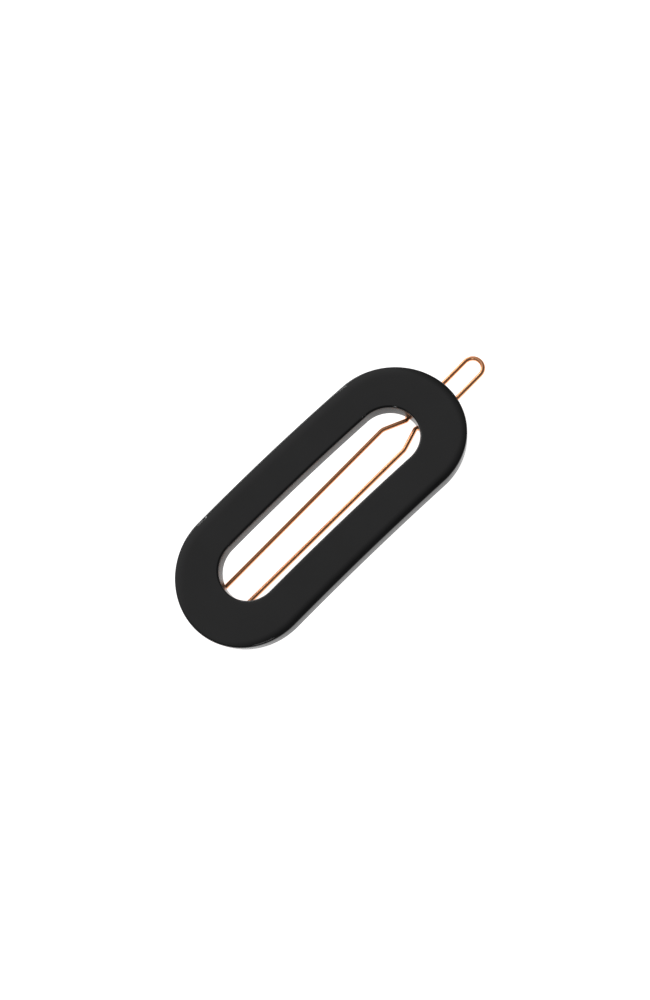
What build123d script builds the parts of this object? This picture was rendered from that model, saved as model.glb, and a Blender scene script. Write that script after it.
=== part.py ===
"""A hair barrette: an arched acetate ring with a long slot, closed by one sprung wire loop.

The wire loop is hinged in a small clevis under one end of the ring. Its legs run straight under
the slot, pinch to a neck, widen again and pass either side of a ball stud under the other end.
The round end of the loop stands out past the ring as the tab that a finger pushes.

Units are millimetres. X runs along the ring, from the hinge to the tab, Y runs across it and +Z
is the side that shows when it is worn. The functions work about the ring's own centre, with
z = 0 at the crown of its middle surface. The last step moves every part to the frame that is
handed in, which has its origin on the surface the barrette lies on, below the middle of its box.
"""

import os
from math import asin, cos, pi, sin, tan

from build123d import *

# Ring: a flat acetate blank with a slot, formed to an arch
RING_LENGTH = 80.0  # along the arch
RING_WIDTH = 34.0
RING_THICKNESS = 3.8
SLOT_LENGTH = 58.0
SLOT_WIDTH = 14.6
EDGE_RADIUS = 0.65
ARCH_RADIUS = 268.0  # of the ring's middle surface

# Wire loop: the places where its centre line turns, for the leg on the +Y side
WIRE_DIAMETER = 1.1
LEG_START_Y = 3.3
PINCH = (22.6, 3.68, -3.25)
NECK = (28.6, 1.35, -4.0)
SHOULDER = (29.1, 2.49, -4.6)
RING_END = (40.4, 2.49, -5.6)
TAB_CORNER = (50.4, 2.49, -4.8)
HINGE_BEND_RADIUS = 0.9
PINCH_BEND_RADIUS = 3.0
NECK_BEND_RADIUS = 0.8
SHOULDER_BEND_RADIUS = 0.85
RING_END_BEND_RADIUS = 15.0
TAB_BEND_RADIUS = 2.4
WIRE_END_Y = 5.6
WIRE_END_CHAMFER = 0.15

# Hinge clevis: a strip across the ring with an ear folded down at each end
CLEVIS_X = -34.6
CLEVIS_SPAN = 10.2  # over the ears
CLEVIS_LENGTH = 4.2
SHEET = 0.6
CLEVIS_RECESS = 0.3  # how deep the strip is let into the ring
SEAT_CLEARANCE = 0.04
PIVOT_DROP = 2.2  # from the ring's underside to the hinge axis
PIVOT_CLEARANCE = 0.05  # radial
EAR_RADIUS = 1.3
FOLD_RADIUS = 0.45

# Two drive pins hold the clevis to the ring
PIN_SPACING = 3.4
PIN_RADIUS = 0.45
PIN_DEPTH = 2.2  # below the clevis's outer face
PIN_HEAD_RADIUS = 0.85
PIN_HEAD_HEIGHT = 0.35
PIN_DOME = 0.2
PIN_DOME_RADIUS = 0.5
PIN_POINT = 0.3

# Ball stud
STUD_X = 33.2
SHANK_RADIUS = 0.9
SHANK_DEPTH = 2.4
BARBS = 3
BARB_DEPTH = 0.15
FLANGE_RADIUS = 1.75
FLANGE_THICKNESS = 0.4
FLANGE_RECESS = 0.1
STEM_RADIUS = 0.85
BALL_RADIUS = 1.85
BALL_DROP = 1.7  # from the ring's underside to the ball's centre

NEAR = 0.01  # two places closer than this are the same

WIRE_RADIUS = WIRE_DIAMETER / 2
UNDER_RADIUS = ARCH_RADIUS - RING_THICKNESS / 2


def under_plane(x):
    """A plane that touches the ring's underside at x, with z pointing down and y along Y."""
    lean = asin(x / UNDER_RADIUS)
    height = UNDER_RADIUS * cos(lean) - ARCH_RADIUS
    return Plane(origin=(x, 0, height), x_dir=(-cos(lean), 0, sin(lean)), z_dir=(-sin(lean), 0, -cos(lean)))


def pivot_point():
    """Where the hinge axis crosses the barrette's middle plane."""
    return under_plane(CLEVIS_X).from_local_coords(Vector(0, 0, PIVOT_DROP))


def blank_outline(length, width, height):
    """A round-ended outline at a height, as it lies once the flat blank is formed to the arch.

    Forming turns the walls square to the arch, so the outline grows along X above the middle
    surface and shrinks below it, and its round ends become very slightly elliptical.
    """
    half = length / 2
    stretch = (ARCH_RADIUS + height) * tan(half / ARCH_RADIUS) / half
    radius = width / 2
    straight = (half - radius) * stretch
    right = EllipticalCenterArc((straight, 0), radius * stretch, radius, start_angle=-90, arc_size=180)
    left = EllipticalCenterArc((-straight, 0), radius * stretch, radius, start_angle=90, arc_size=180)
    sides = [Line(right @ 1, left @ 0), Line(left @ 1, right @ 0)]
    outline = Wire([right.edge(), sides[0].edge(), left.edge(), sides[1].edge()])
    return outline.moved(Location((0, 0, height)))


def formed_prism(length, width):
    """A solid with the walls of the formed blank, taller than the arched ring."""
    low = -RING_THICKNESS - RING_LENGTH**2 / (8 * ARCH_RADIUS)
    high = RING_THICKNESS
    outlines = [blank_outline(length, width, height) for height in (low, high)]
    return Solid.make_loft(outlines, ruled=True)


def arched_slab():
    """The space between the ring's two faces, which are cylinders about one line along Y."""
    breadth = RING_WIDTH + 10
    end = Plane(origin=(0, -breadth / 2, -ARCH_RADIUS), x_dir=(1, 0, 0), z_dir=(0, 1, 0))
    outer = Solid.make_cylinder(ARCH_RADIUS + RING_THICKNESS / 2, breadth, end)
    return outer - Solid.make_cylinder(UNDER_RADIUS, breadth, end)


def turned(plane, *points):
    """A solid turned about a plane's z axis from a profile of (radius, z) points."""
    profile = make_face(Plane.XZ * Polyline(*points, close=True))
    return plane * revolve(profile, Axis.Z)


def pin_plane(side):
    """The clevis's outer face at one of its pins, with z pointing down."""
    return under_plane(CLEVIS_X) * Pos(0, side * PIN_SPACING / 2, SHEET - CLEVIS_RECESS)


def pin_shank(side):
    shoulder = (PIN_RADIUS, PIN_POINT - PIN_DEPTH)
    tip = (PIN_RADIUS - PIN_POINT / 2, -PIN_DEPTH)
    return turned(pin_plane(side), (0, 0), (PIN_RADIUS, 0), shoulder, tip, (0, -PIN_DEPTH))


def stud_shank():
    """The stud's barbed shank and the part of its flange that is let into the ring."""
    points = [(0, 0), (FLANGE_RADIUS, 0), (FLANGE_RADIUS, -FLANGE_RECESS)]
    pitch = (SHANK_DEPTH - FLANGE_RECESS) / BARBS
    for barb in range(BARBS):
        base = -FLANGE_RECESS - barb * pitch
        points += [(SHANK_RADIUS, base), (SHANK_RADIUS - BARB_DEPTH, base - pitch)]
    points.append((0, -SHANK_DEPTH))
    return turned(under_plane(STUD_X), *points)


def make_ring():
    blank = formed_prism(RING_LENGTH, RING_WIDTH) - formed_prism(SLOT_LENGTH, SLOT_WIDTH)
    ring = blank & arched_slab()
    rims = [edge for face in ring.faces().filter_by(GeomType.CYLINDER) for edge in face.edges()]
    ring = fillet(rims, EDGE_RADIUS)
    ring -= under_plane(CLEVIS_X) * Box(
        CLEVIS_LENGTH + 2 * SEAT_CLEARANCE, CLEVIS_SPAN + 2 * SEAT_CLEARANCE, 2 * CLEVIS_RECESS
    )
    for side in (-1, 1):
        ring -= pin_shank(side)
    flange_seat = Cylinder(FLANGE_RADIUS, 2 * FLANGE_RECESS)
    return ring - stud_shank() - under_plane(STUD_X) * flange_seat


def make_clevis():
    """The strip and its two ears, folded from one sheet and pierced for the wire and the pins."""
    frame = under_plane(CLEVIS_X)
    top = -CLEVIS_RECESS
    ear_y = (CLEVIS_SPAN - SHEET) / 2
    clevis = Pos(0, 0, top + SHEET / 2) * Box(CLEVIS_LENGTH, CLEVIS_SPAN, SHEET)
    for side in (-1, 1):
        ear = Pos(0, 0, (top + PIVOT_DROP) / 2) * Box(2 * EAR_RADIUS, SHEET, PIVOT_DROP - top)
        ear += Pos(0, 0, PIVOT_DROP) * Rot(90, 0, 0) * Cylinder(EAR_RADIUS, SHEET)
        clevis += Pos(0, side * ear_y, 0) * ear
    along = clevis.edges().filter_by(Axis.X)
    folds = [edge for edge in along if abs(edge.center().Z - top) < NEAR and abs(edge.center().Y) > ear_y]
    clevis = fillet(folds, FOLD_RADIUS)
    clevis -= Pos(0, 0, PIVOT_DROP) * Rot(90, 0, 0) * Cylinder(WIRE_RADIUS + PIVOT_CLEARANCE, 2 * CLEVIS_SPAN)
    clevis = frame * clevis
    for side in (-1, 1):
        clevis -= pin_shank(side)
    return clevis


def make_pins():
    """Two domed drive pins. They are two solids in one part."""
    dome = (PIN_DOME_RADIUS, PIN_HEAD_HEIGHT)
    rim = (PIN_HEAD_RADIUS, PIN_HEAD_HEIGHT - PIN_DOME)
    pins = []
    for side in (-1, 1):
        head = turned(pin_plane(side), (0, 0), (PIN_HEAD_RADIUS, 0), rim, dome, (0, PIN_HEAD_HEIGHT))
        pins.append((head + pin_shank(side)).solid())
    return Compound(children=pins)


def make_stud():
    frame = under_plane(STUD_X)
    visible = Pos(0, 0, FLANGE_THICKNESS / 2) * Cylinder(FLANGE_RADIUS, FLANGE_THICKNESS)
    visible += Pos(0, 0, BALL_DROP / 2) * Cylinder(STEM_RADIUS, BALL_DROP)
    visible += Pos(0, 0, BALL_DROP) * Sphere(BALL_RADIUS)
    return stud_shank() + frame * visible


def make_wire():
    """One round wire, swept along runs and tangent arcs, with its two ends chamfered."""
    pivot = pivot_point()
    half = [
        (pivot.X, WIRE_END_Y, pivot.Z),
        (pivot.X, LEG_START_Y, pivot.Z),
        PINCH,
        NECK,
        SHOULDER,
        RING_END,
        TAB_CORNER,
    ]
    radii = [
        HINGE_BEND_RADIUS,
        PINCH_BEND_RADIUS,
        NECK_BEND_RADIUS,
        SHOULDER_BEND_RADIUS,
        RING_END_BEND_RADIUS,
        TAB_BEND_RADIUS,
    ]
    points = half + [(x, -y, z) for x, y, z in reversed(half)]
    path = FilletPolyline(*points, radius=radii + radii[::-1])
    section = Plane(origin=path @ 0, z_dir=path % 0) * Circle(WIRE_RADIUS)
    wire = sweep(section, path=path)
    ends = [edge for edge in wire.edges() if abs(abs(edge.center().Y) - WIRE_END_Y) < NEAR]
    wire = chamfer(ends, WIRE_END_CHAMFER)
    drift = wire.volume / (path.length * pi * WIRE_RADIUS**2) - 1
    print(f"wire length {path.length:.1f} mm, volume off its section times its length by {drift:.2%}")
    return wire


parts = {
    "ring": make_ring(),
    "hinge_clevis": make_clevis(),
    "clevis_pins": make_pins(),
    "wire_loop": make_wire(),
    "ball_stud": make_stud(),
}

boxes = [part.bounding_box() for part in parts.values()]
middle_x = (min(box.min.X for box in boxes) + max(box.max.X for box in boxes)) / 2
lowest = min(box.min.Z for box in boxes)
to_frame = Location((-middle_x, 0, -lowest))

os.makedirs("parts", exist_ok=True)
for name, part in parts.items():
    export_step(part.moved(to_frame), f"parts/{name}.step")

pivot = pivot_point()
print(f"hinge axis at x {pivot.X - middle_x:.3f}, z {pivot.Z - lowest:.3f}")
print(f"ring centre at x {-middle_x:.3f}, z {-lowest:.3f}")
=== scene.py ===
"""A black acetate barrette with a copper wire clasp, on a light table.

Every length is in metres, in the frame of the barrette's CAD model: X runs along the ring, from
the hinge to the finger tab, Y runs across it and +Z is the side that shows when it is worn.
"""

from math import asin, cos, hypot, pi, radians, sin, tan

import bmesh
import bpy
from bpy.props import FloatProperty, FloatVectorProperty, PointerProperty
from mathutils import Matrix, Vector


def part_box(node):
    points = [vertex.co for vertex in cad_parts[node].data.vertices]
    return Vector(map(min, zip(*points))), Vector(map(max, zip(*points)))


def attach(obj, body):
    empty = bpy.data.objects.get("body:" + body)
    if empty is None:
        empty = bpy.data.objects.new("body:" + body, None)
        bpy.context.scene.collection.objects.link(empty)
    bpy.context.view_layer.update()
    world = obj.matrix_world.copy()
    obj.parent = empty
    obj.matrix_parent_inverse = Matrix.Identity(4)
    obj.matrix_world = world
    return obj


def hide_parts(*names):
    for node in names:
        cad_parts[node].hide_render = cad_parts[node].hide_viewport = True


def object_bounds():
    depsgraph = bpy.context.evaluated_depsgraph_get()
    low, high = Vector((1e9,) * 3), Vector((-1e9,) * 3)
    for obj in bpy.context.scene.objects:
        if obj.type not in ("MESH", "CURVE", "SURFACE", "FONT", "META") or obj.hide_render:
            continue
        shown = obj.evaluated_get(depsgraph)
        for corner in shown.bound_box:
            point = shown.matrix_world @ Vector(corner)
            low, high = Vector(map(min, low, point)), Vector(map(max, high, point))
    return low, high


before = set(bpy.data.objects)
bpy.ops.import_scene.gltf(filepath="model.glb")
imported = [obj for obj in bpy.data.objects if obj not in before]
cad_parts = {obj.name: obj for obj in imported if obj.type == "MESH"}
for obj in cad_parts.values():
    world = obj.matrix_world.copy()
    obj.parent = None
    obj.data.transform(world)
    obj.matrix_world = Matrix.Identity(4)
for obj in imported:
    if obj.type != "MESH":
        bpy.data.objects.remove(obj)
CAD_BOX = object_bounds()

bl_info = {
    "name": "Wire-clasp barrette",
    "version": (1, 0, 0),
    "blender": (4, 5, 0),
    "location": "View3D > Sidebar > Barrette",
    "description": "Builds a slotted acetate barrette with a copper wire clasp",
    "category": "Object",
}

MM = 0.001
RING_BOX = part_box("ring")
RING_SEGMENTS = 192  # round the outline
BAND_LOOPS = 23  # from the outer wall to the slot
BEND_STEP = 2 * MM
EDGE_SEGMENTS = 10
ROUNDING_POWER = 2.5
RIM_ANGLE = radians(60)  # edges of the blank that turn more than this are rounded
CUTS_SHORT = 4  # bend steps that aren't cut at each end of the slot
FACING_DOWN = -0.99  # a face's normal has less Z than this
SEAT_GAP = 0.04 * MM  # round the hinge clevis
SEAT_DEPTH = 0.3 * MM

# The wire's centre line, for the leg on +Y: it starts on the hinge axis and turns at LEG_ROUTE
WIRE_RADIUS = 0.55 * MM
WIRE_SEGMENTS = 28
WIRE_END_CHAMFER = 0.15 * MM
BEND_SEGMENT = radians(9)
WIRE_END_Y = 5.6 * MM
LEG_START_Y = 3.3 * MM
HINGE_BEND_RADIUS = 0.9 * MM
LEG_ROUTE = (
    # X, Y, Z from the ring's middle and the radius of the bend there, in millimetres
    (22.6, 3.68, -3.25, 3.0),
    (28.6, 1.35, -4.0, 0.8),
    (29.1, 2.49, -4.6, 0.85),
    (40.4, 2.49, -5.6, 15.0),
    (50.4, 2.49, -4.8, 2.4),
)

# Fittings under the ring, in frames on its underside whose z points down
STUD_X = 33.2 * MM
STUD_EDGE = 0.06 * MM
FLANGE_RADIUS = 1.75 * MM
FLANGE_THICKNESS = 0.4 * MM
FLANGE_RECESS = 0.1 * MM
BALL_RADIUS = 1.85 * MM
BALL_DROP = 1.7 * MM
CLEVIS_X = -34.6 * MM
CLEVIS_SPAN = 10.2 * MM
CLEVIS_LENGTH = 4.2 * MM
SHEET = 0.6 * MM
SHEET_EDGE = 0.08 * MM
FOLD_RADIUS = 0.75 * MM  # outside
FOLD_STEPS = 6
PIVOT_DROP = 2.2 * MM
EAR_RADIUS = 1.3 * MM
EAR_HOLE = WIRE_RADIUS + 0.05 * MM  # its radius, a running fit on the wire
PIN_SPACING = 3.4 * MM
PIN_HEAD_RADIUS = 0.85 * MM
PIN_RIM = 0.15 * MM
PIN_HEAD_HEIGHT = 0.35 * MM
PIN_SHANK_RADIUS = 0.45 * MM
PIN_EDGE = 0.05 * MM
TURNED_SEGMENTS = 48
TURNED_ARC_STEP = radians(6)
FITTING_EDGE_ANGLE = radians(50)  # edges of a fitting that turn more than this are softened
TINY = 1e-6
SAME_PLACE = 1e-7

# Finishes. Scales are in patterns per metre
ACETATE_WEAR = {
    "Mottle": {"Scale": 90.0, "Contrast": 0.5},
    "Hairlines": {"Scale": 1400.0, "Width": 0.005},
    "Pits": {"Scale": 1500.0, "Size": 0.07},
}
ACETATE_POLISH = (0.055, 0.085)  # its roughness, from clear to cloudy
ACETATE_IOR = 1.49
CLOUDED = 2.2  # how much lighter the acetate is where it is cloudy
HAIRLINE_ROUGHNESS = 0.05  # that a mark adds
WALL_ROUGHNESS = 0.09  # that the tumbled walls add
RIPPLE_SCALE = 260.0
RIPPLE_DEPTH = 0.012 * MM
PIT_DEPTH = 0.0015 * MM
SAWING_SCALE = 9000.0
SAWING_STRETCH = (0.04, 0.04, 1.0)
SAWING_DEPTH = 0.016 * MM
COPPER_WEAR = {
    "Mottle": {"Scale": 260.0, "Contrast": 0.45},
    "Hairlines": {"Scale": 2600.0, "Width": 0.008},
    "Pits": {"Scale": 2600.0, "Size": 0.10},
}
DULL_PATCHES = 0.55  # how much of the shade colour shows in the patches
DULL_PITS = 0.7
PATCH_ROUGHNESS = 0.07  # that a patch adds
GRAIN_SCALE = 7000.0
GRAIN_STRETCH = (0.02, 1.0, 1.0)
GRAIN_RANGE = (0.3, 0.7)  # of its noise
GRAIN_ROUGHNESS = (-0.03, 0.04)  # that it adds over that range
SCRATCH_ROUGHNESS = 0.12
SCRATCH_DEPTH = 0.002 * MM
WIRE_FINISH = (0.14, 0.002 * MM)  # roughness and the depth of the lines
SHEET_FINISH = (0.25, 0.003 * MM)
PIN_FINISH = (0.20, 0.002 * MM)
STUD_FINISH = (0.12, 0.002 * MM)

TABLE_RADIUS = 1.5
TABLE_SEGMENTS = 96
TABLE_CLOUD = {"Scale": 6.0, "Contrast": 0.8}
TABLE_WHITE = (0.80, 0.80, 0.80, 1)
TABLE_BRIGHT_WHITE = (0.82, 0.82, 0.82, 1)
TABLE_ROUGHNESS = 0.6
TABLE_SPECULAR = 0.2
TABLE_DROP = 2.5 * MM  # below the ring, clear of the wire when it is laid open
ROOM_LIGHT = 0.13
CANOPY_LIGHT = 0.38
CANOPY_GLOW = 0.58  # over the canopy's far part
CANOPY_NEAR = (0.02, 0.22)  # from where, along Y, the canopy begins overhead
CANOPY_FAR = (0.42, 0.62)  # along Y, where it brightens
CANOPY_END = (0.88, 0.97)  # along Y, where it ends above the horizon
CANOPY_HALF_WIDTH = (0.52, 0.72)  # along X, where it ends
BACKDROP_LIGHT = 1.0  # what the camera sees past the table
LAMPS = (
    # name, place, size and power
    ("strip", (-0.37, -0.17, 0.52), (0.05, 0.24), 0.22),
    ("window", (0.06, 0.70, 0.40), (0.6, 0.12), 1.6),
)

CAMERA_SENSOR = 36.0
CAMERA_LENS = 50.5
CAMERA_CLIP_START = 0.01
CAMERA_AZIMUTH = radians(-13.01)
CAMERA_ELEVATION = radians(68.07)
CAMERA_ROLL = radians(-31.51)
CAMERA_DISTANCE = 321.6 * MM
CAMERA_AIM = Vector((-3.84, 0.75, 0.0)) * MM  # from the middle of the barrette's box


class BarretteSizes(bpy.types.PropertyGroup):
    """The barrette's own sizes. The defaults are those of the CAD model."""

    thickness: FloatProperty(
        name="Thickness", description="Of the acetate", default=3.8 * MM, unit="LENGTH", precision=4
    )
    slot_length: FloatProperty(
        name="Slot length", description="End to end, along the arch", default=58.0 * MM, unit="LENGTH"
    )
    slot_width: FloatProperty(name="Slot width", description="Across", default=14.6 * MM, unit="LENGTH")
    blank_length: FloatProperty(
        name="Ring length", description="End to end, along the arch", default=80.0 * MM, unit="LENGTH"
    )
    arch_radius: FloatProperty(
        name="Arch radius", description="Of the acetate's middle surface", default=268 * MM, unit="LENGTH"
    )
    edge_radius: FloatProperty(
        name="Edge radius", description="Of the tumbled edges",
        default=0.7 * MM, unit="LENGTH", precision=4,
    )
    outer_shoulder: FloatProperty(
        name="Outer shoulder", description="How far in the polishing rounds the band from outside",
        default=3.2 * MM, unit="LENGTH", precision=4,
    )
    slot_shoulder: FloatProperty(
        name="Slot shoulder", description="How far in the polishing rounds the band from the slot",
        default=1.5 * MM, unit="LENGTH", precision=4,
    )
    shoulder_slope: FloatProperty(
        name="Shoulder slope", description="How steep the rounding is at the edge",
        default=0.22,
    )


class BarretteColours(bpy.types.PropertyGroup):
    """The finishes that a user would change."""

    acetate: FloatVectorProperty(
        name="Acetate", description="Body colour of the ring", subtype="COLOR", size=4,
        default=(0.0045, 0.0045, 0.0048, 1), min=0, max=1,
    )
    copper: FloatVectorProperty(
        name="Copper", description="Plating of the wire and fittings", subtype="COLOR", size=4,
        default=(0.93, 0.45, 0.24, 1), min=0, max=1,
    )
    copper_shade: FloatVectorProperty(
        name="Copper shade", description="Thinner or duller plating", subtype="COLOR", size=4,
        default=(0.80, 0.34, 0.16, 1), min=0, max=1,
    )
    floor_glow: FloatProperty(
        name="Floor glow", description="Brightness of the light table", default=1.25, min=0, max=10
    )


# Node groups


def new_mask_group(name, numbers):
    """A node group that gives a mask. Returns it, its inputs and the socket that takes the mask.

    Its inputs are a Vector and these numbers, each with its default.
    """
    group = bpy.data.node_groups.new(name, "ShaderNodeTree")
    group.interface.new_socket(name="Vector", in_out="INPUT", socket_type="NodeSocketVector")
    for label, value in numbers.items():
        socket = group.interface.new_socket(name=label, in_out="INPUT", socket_type="NodeSocketFloat")
        socket.default_value = value
    group.interface.new_socket(name="Mask", in_out="OUTPUT", socket_type="NodeSocketFloat")
    given = group.nodes.new("NodeGroupInput").outputs
    return group, given, group.nodes.new("NodeGroupOutput").inputs["Mask"]


def add_node(tree, kind, settings=None, **inputs):
    """A node with its settings and inputs. A socket as an input's value is linked to it.

    An input is named by its label, or by i and its index where labels repeat.
    """
    node = tree.nodes.new(kind)
    for key, value in (settings or {}).items():
        setattr(node, key, value)
    for key, value in inputs.items():
        socket = node.inputs[int(key[1:])] if key[0] == "i" and key[1:].isdigit() else node.inputs[key]
        if isinstance(value, bpy.types.NodeSocket):
            tree.links.new(value, socket)
        else:
            socket.default_value = value
    return node


def math_node(tree, operation, first, second=0.5):
    """The result of an operation, which leaves the second number out where it needs only one."""
    return add_node(tree, "ShaderNodeMath", {"operation": operation}, i0=first, i1=second).outputs[0]


def map_range(tree, value, low, high, to_low, to_high):
    """The value, clamped to a range and mapped to another."""
    node = add_node(tree, "ShaderNodeMapRange", {"clamp": True}, Value=value)
    for label, number in (("From Min", low), ("From Max", high), ("To Min", to_low), ("To Max", to_high)):
        node.inputs[label].default_value = number
    return node.outputs[0]


def noise(tree, vector, scale, detail, roughness=0.55):
    return add_node(
        tree, "ShaderNodeTexNoise", {"noise_dimensions": "3D"},
        Vector=vector, Scale=scale, Detail=detail, Roughness=roughness,
    ).outputs[0]


def stretch(tree, vector, factors):
    """The vector with each part multiplied by its factor, which draws a pattern out where it is small."""
    return add_node(
        tree, "ShaderNodeVectorMath", {"operation": "MULTIPLY"}, i0=vector, i1=factors
    ).outputs[0]


def hairline_group():
    """Fine, short handling marks in two directions. They are white where there is a mark."""
    group, given, mask = new_mask_group("Hairlines", {"Scale": 1500.0, "Width": 0.006})
    drawn_out = (0.035, 1.0, 1.0)
    patch_scale, bare = 220.0, 0.58
    marks = []
    for angle, shift in ((0.5, 0.0), (-0.9, 3.7)):
        turned = add_node(
            group, "ShaderNodeMapping",
            Vector=given["Vector"], Location=(shift, shift, 0), Rotation=(0, 0, angle),
        ).outputs[0]
        lines = noise(group, stretch(group, turned, drawn_out), given["Scale"], detail=1.0)
        gap = math_node(group, "ABSOLUTE", math_node(group, "SUBTRACT", lines, 0.5))
        line = math_node(group, "LESS_THAN", gap, given["Width"])
        sparse = math_node(group, "GREATER_THAN", noise(group, turned, patch_scale, detail=1.0), bare)
        marks.append(math_node(group, "MULTIPLY", line, sparse))
    group.links.new(math_node(group, "MAXIMUM", *marks), mask)
    return group


def mottle_group():
    """Soft uneven patches with a finer cloud in them, from 0 to 1."""
    group, given, mask = new_mask_group("Mottle", {"Scale": 150.0, "Contrast": 0.3})
    cloud = noise(group, given["Vector"], given["Scale"], detail=5.0, roughness=0.6)
    half = math_node(group, "MULTIPLY", given["Contrast"], 0.5)
    low = math_node(group, "SUBTRACT", 0.5, half)
    high = math_node(group, "ADD", 0.5, half)
    spread = add_node(group, "ShaderNodeMapRange", {"clamp": True}, Value=cloud)
    group.links.new(low, spread.inputs["From Min"])
    group.links.new(high, spread.inputs["From Max"])
    group.links.new(spread.outputs[0], mask)
    return group


def pit_group():
    """Scattered tiny pits and specks, white at each one."""
    group, given, mask = new_mask_group("Pits", {"Scale": 1200.0, "Size": 0.12})
    patch_scale, bare = 300.0, 0.62
    cells = add_node(
        group, "ShaderNodeTexVoronoi", {"feature": "F1"}, Vector=given["Vector"], Scale=given["Scale"]
    )
    near = math_node(group, "LESS_THAN", cells.outputs["Distance"], given["Size"])
    patches = noise(group, given["Vector"], patch_scale, detail=0.0)
    chosen = math_node(group, "GREATER_THAN", patches, bare)
    group.links.new(math_node(group, "MULTIPLY", near, chosen), mask)
    return group


GROUP_MAKERS = {"Mottle": mottle_group, "Hairlines": hairline_group, "Pits": pit_group}


def place_mask(tree, name, **inputs):
    """The mask of the group with this name, which is made once and then shared."""
    group = bpy.data.node_groups.get(name) or GROUP_MAKERS[name]()
    return add_node(tree, "ShaderNodeGroup", {"node_tree": group}, **inputs).outputs[0]


def place_wear(tree, place, wear):
    """The masks of the groups that wear names, with the inputs it gives."""
    return [place_mask(tree, name, Vector=place, **inputs) for name, inputs in wear.items()]


# Materials


def new_material(name):
    """A material with one Principled shader, its tree and the shader."""
    material = bpy.data.materials.new(name)
    material.use_nodes = True
    tree = material.node_tree
    return material, tree, tree.nodes["Principled BSDF"]


def bump(tree, height, distance, under=None):
    """A normal raised by a height times a distance, on top of the normal under it."""
    node = add_node(tree, "ShaderNodeBump", Height=height, Distance=distance)
    if under:
        tree.links.new(under, node.inputs["Normal"])
    return node.outputs[0]


def mix_colours(tree, factor, first, second):
    node = add_node(tree, "ShaderNodeMix", {"data_type": "RGBA"}, i0=factor, i6=first, i7=second)
    return node.outputs[2]


def acetate_material(sizes, colours):
    """Polished black acetate, with softer tumbled walls that keep faint saw marks."""
    material, tree, shader = new_material("black_acetate")
    blank = add_node(tree, "ShaderNodeAttribute", {"attribute_name": "blank"}).outputs["Vector"]
    height = add_node(tree, "ShaderNodeSeparateXYZ", Vector=blank).outputs["Z"]
    edge = sizes.thickness / 2
    wall = map_range(tree, math_node(tree, "ABSOLUTE", height), edge - sizes.edge_radius, edge, 1, 0)

    cloud, marks, pits = place_wear(tree, blank, ACETATE_WEAR)
    sawing = noise(tree, stretch(tree, blank, SAWING_STRETCH), SAWING_SCALE, detail=2.0)

    lighter = [channel * CLOUDED for channel in colours.acetate[:3]] + [1]
    tree.links.new(mix_colours(tree, cloud, colours.acetate, lighter), shader.inputs["Base Color"])

    polish = map_range(tree, cloud, 0, 1, *ACETATE_POLISH)
    scuffed = math_node(tree, "ADD", polish, math_node(tree, "MULTIPLY", marks, HAIRLINE_ROUGHNESS))
    softened = math_node(tree, "ADD", scuffed, math_node(tree, "MULTIPLY", wall, WALL_ROUGHNESS))
    tree.links.new(softened, shader.inputs["Roughness"])

    ripple = noise(tree, blank, RIPPLE_SCALE, detail=1.0)
    normal = bump(tree, ripple, RIPPLE_DEPTH)
    normal = bump(tree, math_node(tree, "MULTIPLY", pits, -1), PIT_DEPTH, under=normal)
    normal = bump(tree, math_node(tree, "MULTIPLY", sawing, wall), SAWING_DEPTH, under=normal)
    tree.links.new(normal, shader.inputs["Normal"])
    shader.inputs["IOR"].default_value = ACETATE_IOR
    return material


def copper_material(name, colours, finish, drawn=False):
    """Rose-copper plating over metal with fine lines. A finish is a roughness and the lines' depth.

    On the drawn wire the lines follow its "drawn" layer, and elsewhere they run along X.
    """
    roughness, lines = finish
    material, tree, shader = new_material(name)
    if drawn:
        place = add_node(tree, "ShaderNodeAttribute", {"attribute_name": "drawn"}).outputs["Vector"]
    else:
        place = add_node(tree, "ShaderNodeTexCoord").outputs["Object"]
    cloud, marks, pits = place_wear(tree, place, COPPER_WEAR)
    grain = noise(tree, stretch(tree, place, GRAIN_STRETCH), GRAIN_SCALE, detail=2.0)

    plating = colours.copper
    for mask, share in ((cloud, DULL_PATCHES), (pits, DULL_PITS)):
        dull = math_node(tree, "MULTIPLY", mask, share)
        plating = mix_colours(tree, dull, plating, colours.copper_shade)
    tree.links.new(plating, shader.inputs["Base Color"])

    satin = map_range(tree, cloud, 0, 1, roughness, roughness + PATCH_ROUGHNESS)
    satin = math_node(tree, "ADD", satin, map_range(tree, grain, *GRAIN_RANGE, *GRAIN_ROUGHNESS))
    satin = math_node(tree, "ADD", satin, math_node(tree, "MULTIPLY", marks, SCRATCH_ROUGHNESS))
    tree.links.new(satin, shader.inputs["Roughness"])

    scratches = math_node(tree, "MULTIPLY", math_node(tree, "MAXIMUM", marks, pits), -1)
    normal = bump(tree, scratches, SCRATCH_DEPTH, under=bump(tree, grain, lines))
    tree.links.new(normal, shader.inputs["Normal"])
    shader.inputs["Metallic"].default_value = 1.0
    return material


# Meshes


def new_piece(name, bm, body, material):
    """The bmesh as a smooth-shaded piece that rides on a body."""
    mesh = bpy.data.meshes.new(name)
    bm.to_mesh(mesh)
    bm.free()
    piece = bpy.data.objects.new(name, mesh)
    bpy.context.scene.collection.objects.link(piece)
    mesh.materials.append(material)
    mesh.polygons.foreach_set("use_smooth", [True] * len(mesh.polygons))
    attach(piece, body)
    return piece


def stadium_loop(bm, length, width):
    """A closed round-ended outline in the XY plane. Returns its edges."""
    half_step = Matrix.Rotation(pi / RING_SEGMENTS, 4, "Z")
    made = bmesh.ops.create_circle(
        bm, cap_ends=False, segments=RING_SEGMENTS, radius=width / 2, matrix=half_step
    )
    straight = (length - width) / 2
    for vert in made["verts"]:
        vert.co.x += straight if vert.co.x > 0 else -straight
    return list({edge for vert in made["verts"] for edge in vert.link_edges})


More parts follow.
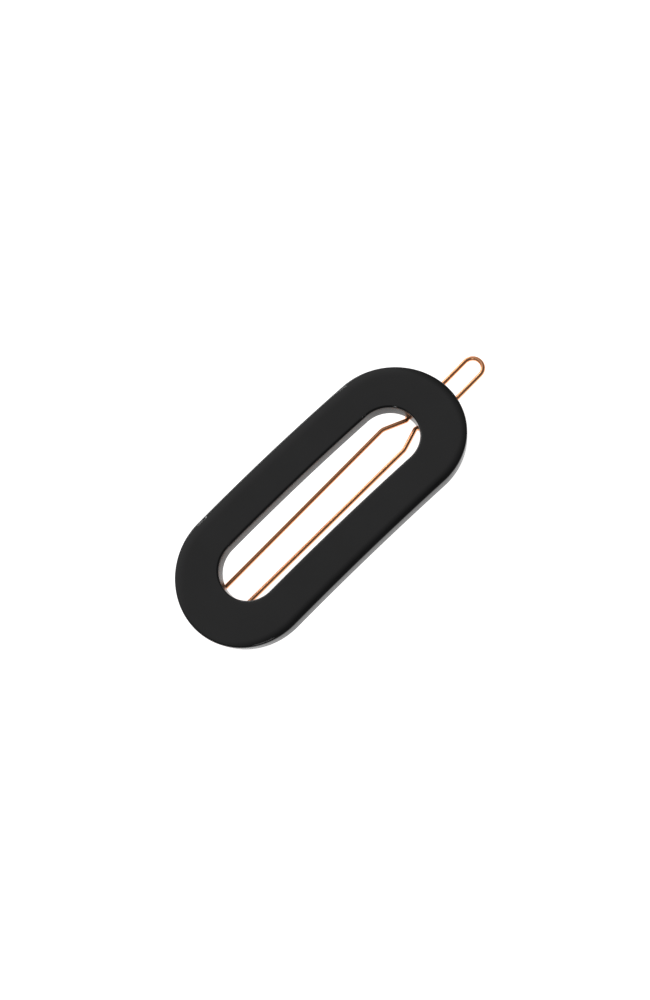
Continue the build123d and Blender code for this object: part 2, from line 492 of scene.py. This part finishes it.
def grow(bm, edges, change):
    """Extrudes edges and moves the new ones by a matrix. Returns the new edges and their vertices."""
    grown = bmesh.ops.extrude_edge_only(bm, edges=edges)["geom"]
    verts = {part for part in grown if isinstance(part, bmesh.types.BMVert)}
    bmesh.ops.transform(bm, matrix=change, space=Matrix.Identity(4), verts=list(verts))
    rim = {edge for vert in verts for edge in vert.link_edges if verts.issuperset(edge.verts)}
    return list(rim), verts


def turn_solid(bm, outline, ball_height):
    """Turns a solid about Z from (radius, height) points, which start on the axis.

    From the last point an arc goes on to the axis, about a ball's centre at this height.
    """
    corners = [bm.verts.new((radius, 0, height)) for radius, height in outline]
    for pair in zip(corners, corners[1:]):
        bm.edges.new(pair)
    last = corners[-1]
    centre = Vector((0, 0, ball_height))
    angle = Vector((0, 0, 1)).angle(last.co - centre)
    arc = bmesh.ops.spin(
        bm, geom=[last], cent=centre, axis=(0, 1, 0), angle=-angle,
        steps=round(angle / TURNED_ARC_STEP), use_merge=False,
    )
    pole = [part for part in arc["geom_last"] if isinstance(part, bmesh.types.BMVert)][0]
    pole.co.x = 0
    bmesh.ops.spin(
        bm, geom=bm.edges[:] + bm.verts[:], cent=(0, 0, 0), axis=(0, 0, 1), angle=2 * pi,
        steps=TURNED_SEGMENTS, use_merge=True,
    )
    bmesh.ops.remove_doubles(bm, verts=bm.verts, dist=TINY)
    bmesh.ops.recalc_face_normals(bm, faces=bm.faces)


def soften(bm, radius, segments=3):
    """Rounds the sharp edges of a closed shape."""
    sharp = [edge for edge in bm.edges if edge.calc_face_angle(0) > FITTING_EDGE_ANGLE]
    bmesh.ops.bevel(
        bm, geom=sharp, offset=radius, offset_type="OFFSET", segments=segments,
        profile=0.5, affect="EDGES", material=-1, clamp_overlap=True,
    )
    if any(not edge.is_manifold for edge in bm.edges):
        raise RuntimeError("a fitting isn't closed")


def underside(x, sizes):
    """A frame that touches the ring's underside at x from its middle, with its z pointing down."""
    radius = sizes.arch_radius - sizes.thickness / 2
    lean = asin(x / radius)
    place = ring_middle(sizes) + Vector((x, 0, radius * cos(lean) - sizes.arch_radius))
    return Matrix.Translation(place) @ Matrix.Rotation(pi + lean, 4, "Y")


def about(point, axis, angle):
    """The turn by an angle about an axis through a point."""
    return Matrix.Translation(point) @ Matrix.Rotation(angle, 4, axis) @ Matrix.Translation(-point)


def note_place(verts, route, along):
    """Keeps how far along the straight wire these vertices are."""
    for vert in verts:
        vert[route].x = along


def bend_wire(bm, corners, radius):
    """A round wire through its corners, which are points with bend radii.

    The layer "drawn" keeps each point's place in the straight wire that it was bent from.
    """
    route = bm.verts.layers.float_vector.new("drawn")
    start = Matrix.Translation(corners[0][0]) @ Matrix.Rotation(pi / 2, 4, "X")
    first = bmesh.ops.create_circle(
        bm, cap_ends=True, segments=WIRE_SEGMENTS, radius=radius, matrix=start
    )
    for vert in first["verts"]:
        vert[route] = (0, vert.co.x - corners[0][0].x, vert.co.z - corners[0][0].z)
    rim = bm.edges[:]
    place, along = corners[0][0], 0.0
    for (corner, bend), (after, _) in zip(corners[1:-1], corners[2:]):
        heading = (corner - place).normalized()
        leaving = (after - corner).normalized()
        turn = heading.angle(leaving)
        setback = bend * tan(turn / 2)
        run = (corner - place).length - setback
        along += run
        rim, verts = grow(bm, rim, Matrix.Translation(heading * run))
        note_place(verts, route, along)
        axis = heading.cross(leaving).normalized()
        centre = corner - heading * setback + axis.cross(heading) * bend
        steps = max(2, round(turn / BEND_SEGMENT))
        for _ in range(steps):
            along += bend * turn / steps
            rim, verts = grow(bm, rim, about(centre, axis, turn / steps))
            note_place(verts, route, along)
        place = corner + leaving * setback
    last = corners[-1][0] - place
    rim, verts = grow(bm, rim, Matrix.Translation(last))
    note_place(verts, route, along + last.length)
    bmesh.ops.contextual_create(bm, geom=rim)
    bmesh.ops.recalc_face_normals(bm, faces=bm.faces)
    soften(bm, WIRE_END_CHAMFER, segments=2)


def cut_across(bm, faces, places, normal):
    """Cuts the faces, where they are crossed, with planes at right angles to X or Y."""
    for place in places:
        geometry = {part for face in faces if face.is_valid for part in (face, *face.edges, *face.verts)}
        cut = bmesh.ops.bisect_plane(
            bm, geom=list(geometry), dist=SAME_PLACE, plane_co=normal * place, plane_no=normal
        )
        faces = [part for part in cut["geom"] if isinstance(part, bmesh.types.BMFace)]
    return faces


def ring_middle(sizes):
    """The middle of the ring's middle surface, at the crown."""
    low, high = RING_BOX
    return Vector(((low.x + high.x) / 2, 0, high.z - sizes.thickness / 2))


def rounding(distance, reach):
    """How far a worn surface has dropped at this distance from its edge, for a slope of 1 there."""
    return reach / ROUNDING_POWER * max(0, 1 - distance / reach) ** ROUNDING_POWER


# Operators


class BARRETTE_OT_ring(bpy.types.Operator):
    """Make the acetate ring: a slotted blank with tumbled edges, formed to an arch"""

    bl_idname = "barrette.ring"
    bl_label = "Acetate ring"

    def execute(self, context):
        sizes = context.scene.barrette_sizes
        bm = bmesh.new()
        self.make_blank(bm, sizes)
        self.sink_seat(bm, sizes)
        self.polish_shoulders(bm, sizes)
        self.form_arch(bm, sizes)
        bmesh.ops.remove_doubles(bm, verts=bm.verts, dist=SAME_PLACE)
        bmesh.ops.recalc_face_normals(bm, faces=bm.faces)
        if any(not edge.is_manifold for edge in bm.edges):
            raise RuntimeError("the ring isn't closed")
        material = acetate_material(sizes, context.scene.barrette_colours)
        ring = new_piece("acetate_ring", bm, "frame", material)
        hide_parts("ring")
        return {"FINISHED"}

    def make_blank(self, bm, sizes):
        """A flat slotted blank with rounded rims, its middle at the origin."""
        outer = stadium_loop(bm, sizes.blank_length, RING_BOX[1].y - RING_BOX[0].y)
        slot = stadium_loop(bm, sizes.slot_length, sizes.slot_width)
        band = bmesh.ops.bridge_loops(bm, edges=outer + slot)
        bmesh.ops.subdivide_edges(bm, edges=band["edges"], cuts=BAND_LOOPS, use_grid_fill=True)
        reach = int(sizes.slot_length / 2 / BEND_STEP) - CUTS_SHORT
        steps = [step * BEND_STEP for step in range(-reach, reach + 1)]
        cut_across(bm, bm.faces[:], steps, Vector((1, 0, 0)))
        bmesh.ops.recalc_face_normals(bm, faces=bm.faces)
        raised = bmesh.ops.extrude_face_region(bm, geom=bm.faces[:])
        verts = [part for part in raised["geom"] if isinstance(part, bmesh.types.BMVert)]
        bmesh.ops.translate(bm, verts=verts, vec=(0, 0, sizes.thickness))
        bmesh.ops.translate(bm, verts=bm.verts, vec=(0, 0, -sizes.thickness / 2))
        bmesh.ops.recalc_face_normals(bm, faces=bm.faces)
        rims = [edge for edge in bm.edges if edge.calc_face_angle(0) > RIM_ANGLE]
        bmesh.ops.bevel(
            bm, geom=rims, offset=sizes.edge_radius, offset_type="OFFSET", segments=EDGE_SEGMENTS,
            profile=0.5, affect="EDGES", material=-1, clamp_overlap=True,
        )

    def sink_seat(self, bm, sizes):
        """The flat-floored seat that the hinge clevis lies in."""
        low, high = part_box("hinge_clevis")
        centre = ring_middle(sizes)
        stretched = sizes.arch_radius / (sizes.arch_radius - sizes.thickness)
        middle = ((low.x + high.x) / 2 - centre.x) * stretched
        half_length, half_width = CLEVIS_LENGTH / 2 + SEAT_GAP, high.y + SEAT_GAP
        under = [face for face in bm.faces if face.normal.z < FACING_DOWN]
        under = cut_across(bm, under, (middle - half_length, middle + half_length), Vector((1, 0, 0)))
        under = cut_across(bm, under, (-half_width, half_width), Vector((0, 1, 0)))
        seat = []
        for face in under:
            place = face.calc_center_median()
            if abs(place.x - middle) < half_length and abs(place.y) < half_width:
                seat.append(face)
        sunk = bmesh.ops.extrude_face_region(bm, geom=seat)
        verts = [part for part in sunk["geom"] if isinstance(part, bmesh.types.BMVert)]
        bmesh.ops.translate(bm, verts=verts, vec=(0, 0, SEAT_DEPTH))
        bmesh.ops.delete(bm, geom=[face for face in seat if face.is_valid], context="FACES")
        bmesh.ops.delete(bm, geom=[edge for edge in bm.edges if edge.is_wire], context="EDGES")

    def polish_shoulders(self, bm, sizes):
        """Keeps each point's place on the blank, then thins the band towards its two edges."""
        blank = bm.verts.layers.float_vector.new("blank")
        outer_radius = RING_BOX[1].y
        slot_radius = sizes.slot_width / 2
        for vert in bm.verts:
            vert[blank] = vert.co
            x, y = abs(vert.co.x), vert.co.y
            from_outside = outer_radius - hypot(max(x - sizes.blank_length / 2 + outer_radius, 0), y)
            from_slot = hypot(max(x - sizes.slot_length / 2 + slot_radius, 0), y) - slot_radius
            drop = rounding(from_outside, sizes.outer_shoulder) + rounding(from_slot, sizes.slot_shoulder)
            vert.co.z *= 1 - drop * sizes.shoulder_slope / (sizes.thickness / 2)

    def form_arch(self, bm, sizes):
        """Bends the blank about a line along Y and puts it in its place."""
        centre = ring_middle(sizes)
        for vert in bm.verts:
            turn = vert.co.x / sizes.arch_radius
            radius = sizes.arch_radius + vert.co.z
            vert.co.x = centre.x + radius * sin(turn)
            vert.co.z = centre.z + radius * cos(turn) - sizes.arch_radius


class BARRETTE_OT_wire(bpy.types.Operator):
    """Bend the wire loop: two legs, a pinch and a neck in each, and the finger tab"""

    bl_idname = "barrette.wire"
    bl_label = "Wire loop"

    def execute(self, context):
        sizes = context.scene.barrette_sizes
        middle = ring_middle(sizes)
        hinge = underside(CLEVIS_X, sizes) @ Vector((0, 0, PIVOT_DROP))
        leg = [
            (hinge + Vector((0, WIRE_END_Y, 0)), 0),
            (hinge + Vector((0, LEG_START_Y, 0)), HINGE_BEND_RADIUS),
        ]
        leg += [(middle + Vector(place) * MM, bend * MM) for *place, bend in LEG_ROUTE]
        mirrored = [(Vector((point.x, -point.y, point.z)), bend) for point, bend in reversed(leg)]
        bm = bmesh.new()
        bend_wire(bm, leg + mirrored, WIRE_RADIUS)
        colours = context.scene.barrette_colours
        material = copper_material("copper_wire", colours, WIRE_FINISH, drawn=True)
        wire = new_piece("bent_wire", bm, "clasp", material)
        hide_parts("wire_loop")
        return {"FINISHED"}


class BARRETTE_OT_clevis(bpy.types.Operator):
    """Fold the hinge clevis: a strip across the ring with a pierced ear at each end"""

    bl_idname = "barrette.clevis"
    bl_label = "Hinge clevis"

    def execute(self, context):
        sizes = context.scene.barrette_sizes
        bm = bmesh.new()
        top = self.pierce_ear(bm)
        self.fold_strip(bm, top)
        bmesh.ops.mirror(bm, geom=bm.verts[:] + bm.edges[:] + bm.faces[:], axis="Y", merge_dist=TINY)
        self.thicken(bm)
        bmesh.ops.remove_doubles(bm, verts=bm.verts, dist=TINY)
        bmesh.ops.recalc_face_normals(bm, faces=bm.faces)
        soften(bm, SHEET_EDGE)
        place = underside(CLEVIS_X, sizes)
        bmesh.ops.transform(bm, matrix=place, space=Matrix.Identity(4), verts=bm.verts)
        material = copper_material("copper_sheet", context.scene.barrette_colours, SHEET_FINISH)
        clevis = new_piece("folded_clevis", bm, "frame", material)
        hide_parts("hinge_clevis")
        return {"FINISHED"}

    def pierce_ear(self, bm):
        """The outer face of the ear on +Y. Returns its edges along the fold."""
        place = Matrix.Translation((0, CLEVIS_SPAN / 2, PIVOT_DROP)) @ Matrix.Rotation(pi / 2, 4, "X")
        loops = []
        for radius in (EAR_RADIUS, EAR_HOLE):
            loops.append(bmesh.ops.create_circle(
                bm, cap_ends=False, segments=TURNED_SEGMENTS, radius=radius, matrix=place
            ))
        outer = set(loops[0]["verts"])
        bmesh.ops.bridge_loops(bm, edges=bm.edges[:])
        for vert in outer:
            if vert.co.z < PIVOT_DROP - TINY:
                vert.co.z = FOLD_RADIUS - SEAT_DEPTH
        return [
            edge for edge in bm.edges
            if all(vert in outer and vert.co.z < PIVOT_DROP - TINY for vert in edge.verts)
        ]

    def fold_strip(self, bm, edges):
        """Folds from the ear to the strip and draws the strip to the middle, with its side wings."""
        centre = Vector((0, CLEVIS_SPAN / 2 - FOLD_RADIUS, FOLD_RADIUS - SEAT_DEPTH))
        fold = about(centre, Vector((1, 0, 0)), -pi / 2 / FOLD_STEPS)
        for _ in range(FOLD_STEPS):
            edges, _ = grow(bm, edges, fold)
        half_ear = max(vert.co.x for edge in edges for vert in edge.verts)
        grow(bm, edges, Matrix.Translation((0, -centre.y, 0)))
        for side in (-1, 1):
            wing = [
                edge for edge in bm.edges
                if all(
                    abs(vert.co.x - side * half_ear) < TINY and vert.co.z < TINY - SEAT_DEPTH
                    for vert in edge.verts
                )
            ]
            grow(bm, wing, Matrix.Translation((side * (CLEVIS_LENGTH / 2 - half_ear), 0, 0)))

    def thicken(self, bm):
        """Gives the outer face the sheet's thickness, inwards."""
        fold_y, fold_z = CLEVIS_SPAN / 2 - FOLD_RADIUS, FOLD_RADIUS - SEAT_DEPTH
        inner = bmesh.ops.extrude_face_region(bm, geom=bm.faces[:])["geom"]
        for vert in inner:
            if not isinstance(vert, bmesh.types.BMVert):
                continue
            past_fold = max(abs(vert.co.y) - fold_y, 0)
            outward = Vector((0, past_fold, min(vert.co.z - fold_z, 0))).normalized()
            vert.co.y -= outward.y * SHEET * (1 if vert.co.y > 0 else -1)
            vert.co.z -= outward.z * SHEET


class BARRETTE_OT_pins(bpy.types.Operator):
    """Turn the two drive pins that hold the clevis to the ring"""

    bl_idname = "barrette.pins"
    bl_label = "Drive pins"

    def execute(self, context):
        bm = bmesh.new()
        dome = PIN_HEAD_HEIGHT - PIN_RIM
        dome_radius = (PIN_HEAD_RADIUS**2 + dome**2) / (2 * dome)
        outline = (
            (0, -SHEET),
            (PIN_SHANK_RADIUS, -SHEET),
            (PIN_SHANK_RADIUS, 0),
            (PIN_HEAD_RADIUS, 0),
            (PIN_HEAD_RADIUS, PIN_RIM),
        )
        turn_solid(bm, outline, PIN_HEAD_HEIGHT - dome_radius)
        soften(bm, PIN_EDGE)
        bmesh.ops.translate(bm, verts=bm.verts, vec=(0, PIN_SPACING / 2, SHEET - SEAT_DEPTH))
        bmesh.ops.mirror(bm, geom=bm.verts[:] + bm.edges[:] + bm.faces[:], axis="Y", merge_dist=0)
        bmesh.ops.recalc_face_normals(bm, faces=bm.faces)
        place = underside(CLEVIS_X, context.scene.barrette_sizes)
        bmesh.ops.transform(bm, matrix=place, space=Matrix.Identity(4), verts=bm.verts)
        material = copper_material("copper_pins", context.scene.barrette_colours, PIN_FINISH)
        pins = new_piece("drive_pins", bm, "frame", material)
        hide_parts("clevis_pins")
        return {"FINISHED"}


class BARRETTE_OT_stud(bpy.types.Operator):
    """Turn the ball stud that the wire loop snaps over, on its flange"""

    bl_idname = "barrette.stud"
    bl_label = "Ball stud"

    def execute(self, context):
        bm = bmesh.new()
        foot_radius = (BALL_RADIUS**2 - (BALL_DROP - FLANGE_THICKNESS) ** 2) ** 0.5
        outline = (
            (0, -FLANGE_RECESS),
            (FLANGE_RADIUS, -FLANGE_RECESS),
            (FLANGE_RADIUS, FLANGE_THICKNESS),
            (foot_radius, FLANGE_THICKNESS),
        )
        turn_solid(bm, outline, BALL_DROP)
        soften(bm, STUD_EDGE)
        place = underside(STUD_X, context.scene.barrette_sizes)
        bmesh.ops.transform(bm, matrix=place, space=Matrix.Identity(4), verts=bm.verts)
        material = copper_material("copper_stud", context.scene.barrette_colours, STUD_FINISH)
        stud = new_piece("turned_stud", bm, "frame", material)
        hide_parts("ball_stud")
        return {"FINISHED"}


class BARRETTE_OT_stage(bpy.types.Operator):
    """Set up the light table, the studio light and the camera"""

    bl_idname = "barrette.stage"
    bl_label = "Stage"

    def execute(self, context):
        self.light_table(context.scene.barrette_colours.floor_glow)
        self.studio(context.scene)
        self.camera(context.scene)
        return {"FINISHED"}

    def light_table(self, glow):
        """A round white glowing table top, with room above it for the wire to be laid open."""
        bm = bmesh.new()
        bmesh.ops.create_circle(bm, cap_ends=True, segments=TABLE_SEGMENTS, radius=TABLE_RADIUS)
        mesh = bpy.data.meshes.new("light_table")
        bm.to_mesh(mesh)
        bm.free()
        table = bpy.data.objects.new("light_table", mesh)
        table.location.z = -TABLE_DROP
        bpy.context.scene.collection.objects.link(table)
        material, tree, shader = new_material("opal_acrylic")
        place = add_node(tree, "ShaderNodeTexCoord").outputs["Object"]
        cloud = place_mask(tree, "Mottle", Vector=place, **TABLE_CLOUD)
        white = mix_colours(tree, cloud, TABLE_WHITE, TABLE_BRIGHT_WHITE)
        tree.links.new(white, shader.inputs["Base Color"])
        tree.links.new(white, shader.inputs["Emission Color"])
        shader.inputs["Emission Strength"].default_value = glow
        shader.inputs["Roughness"].default_value = TABLE_ROUGHNESS
        shader.inputs["Specular IOR Level"].default_value = TABLE_SPECULAR
        mesh.materials.append(material)

    def studio(self, scene):
        """A dim room with a soft white canopy, and lamps that light the lower rim and the wire."""
        scene.view_settings.view_transform = "Standard"
        scene.view_settings.look = "None"
        world = bpy.data.worlds.new("studio")
        world.use_nodes = True
        scene.world = world
        tree = world.node_tree
        direction = add_node(tree, "ShaderNodeTexCoord").outputs["Generated"]
        sides = add_node(tree, "ShaderNodeSeparateXYZ", Vector=direction).outputs
        reach = map_range(tree, sides["Y"], *CANOPY_NEAR, 0, 1)
        sideways = math_node(tree, "ABSOLUTE", sides["X"])
        inside = math_node(tree, "MULTIPLY", reach, map_range(tree, sideways, *CANOPY_HALF_WIDTH, 1, 0))
        inside = math_node(tree, "MULTIPLY", inside, map_range(tree, sides["Y"], *CANOPY_END, 1, 0))
        glow = map_range(tree, sides["Y"], *CANOPY_FAR, CANOPY_LIGHT, CANOPY_GLOW)
        canopy = math_node(tree, "ADD", math_node(tree, "MULTIPLY", inside, glow), ROOM_LIGHT)
        seen = add_node(tree, "ShaderNodeLightPath").outputs["Is Camera Ray"]
        strength = add_node(
            tree, "ShaderNodeMix", {"data_type": "FLOAT"}, i0=seen, i2=canopy, i3=BACKDROP_LIGHT
        )
        background = tree.nodes["Background"]
        background.inputs["Color"].default_value = (1, 1, 1, 1)
        tree.links.new(strength.outputs[0], background.inputs["Strength"])
        for name, place, size, power in LAMPS:
            lamp = bpy.data.lights.new(name, "AREA")
            lamp.shape = "RECTANGLE"
            lamp.size, lamp.size_y = size
            lamp.energy = power
            holder = bpy.data.objects.new(name, lamp)
            holder.location = place
            holder.rotation_euler = Vector(place).to_track_quat("Z", "Y").to_euler()
            scene.collection.objects.link(holder)

    def camera(self, scene):
        """A camera that looks down on the barrette, rolled so that it lies across the picture."""
        lens = bpy.data.cameras.new("camera")
        lens.sensor_width = CAMERA_SENSOR
        lens.lens = CAMERA_LENS
        lens.clip_start = CAMERA_CLIP_START
        camera = bpy.data.objects.new("camera", lens)
        low, high = CAD_BOX
        aim = (Vector(low) + Vector(high)) / 2 + CAMERA_AIM
        turn = (
            Matrix.Rotation(CAMERA_AZIMUTH, 4, "Z")
            @ Matrix.Rotation(pi / 2 - CAMERA_ELEVATION, 4, "X")
            @ Matrix.Rotation(CAMERA_ROLL, 4, "Z")
        )
        back = Matrix.Translation((0, 0, CAMERA_DISTANCE))
        camera.matrix_world = Matrix.Translation(aim) @ turn @ back
        scene.collection.objects.link(camera)
        scene.camera = camera


class BARRETTE_PT_panel(bpy.types.Panel):
    """Builds the barrette piece by piece"""

    bl_idname = "BARRETTE_PT_panel"
    bl_label = "Barrette"
    bl_space_type = "VIEW_3D"
    bl_region_type = "UI"
    bl_category = "Barrette"

    def draw(self, context):
        for group in (context.scene.barrette_sizes, context.scene.barrette_colours):
            box = self.layout.box()
            for name in group.__annotations__:
                box.prop(group, name)
        for operator in OPERATORS:
            self.layout.operator(operator.bl_idname)


OPERATORS = (
    BARRETTE_OT_ring,
    BARRETTE_OT_wire,
    BARRETTE_OT_clevis,
    BARRETTE_OT_pins,
    BARRETTE_OT_stud,
    BARRETTE_OT_stage,
)
CLASSES = (BarretteSizes, BarretteColours, *OPERATORS, BARRETTE_PT_panel)


def register():
    for item in CLASSES:
        bpy.utils.register_class(item)
    bpy.types.Scene.barrette_sizes = PointerProperty(type=BarretteSizes)
    bpy.types.Scene.barrette_colours = PointerProperty(type=BarretteColours)


def unregister():
    del bpy.types.Scene.barrette_sizes
    del bpy.types.Scene.barrette_colours
    for item in reversed(CLASSES):
        bpy.utils.unregister_class(item)


def main():
    register()
    bpy.ops.barrette.ring()
    bpy.ops.barrette.wire()
    bpy.ops.barrette.clevis()
    bpy.ops.barrette.pins()
    bpy.ops.barrette.stud()
    bpy.ops.barrette.stage()


if __name__ == "__main__":
    main()
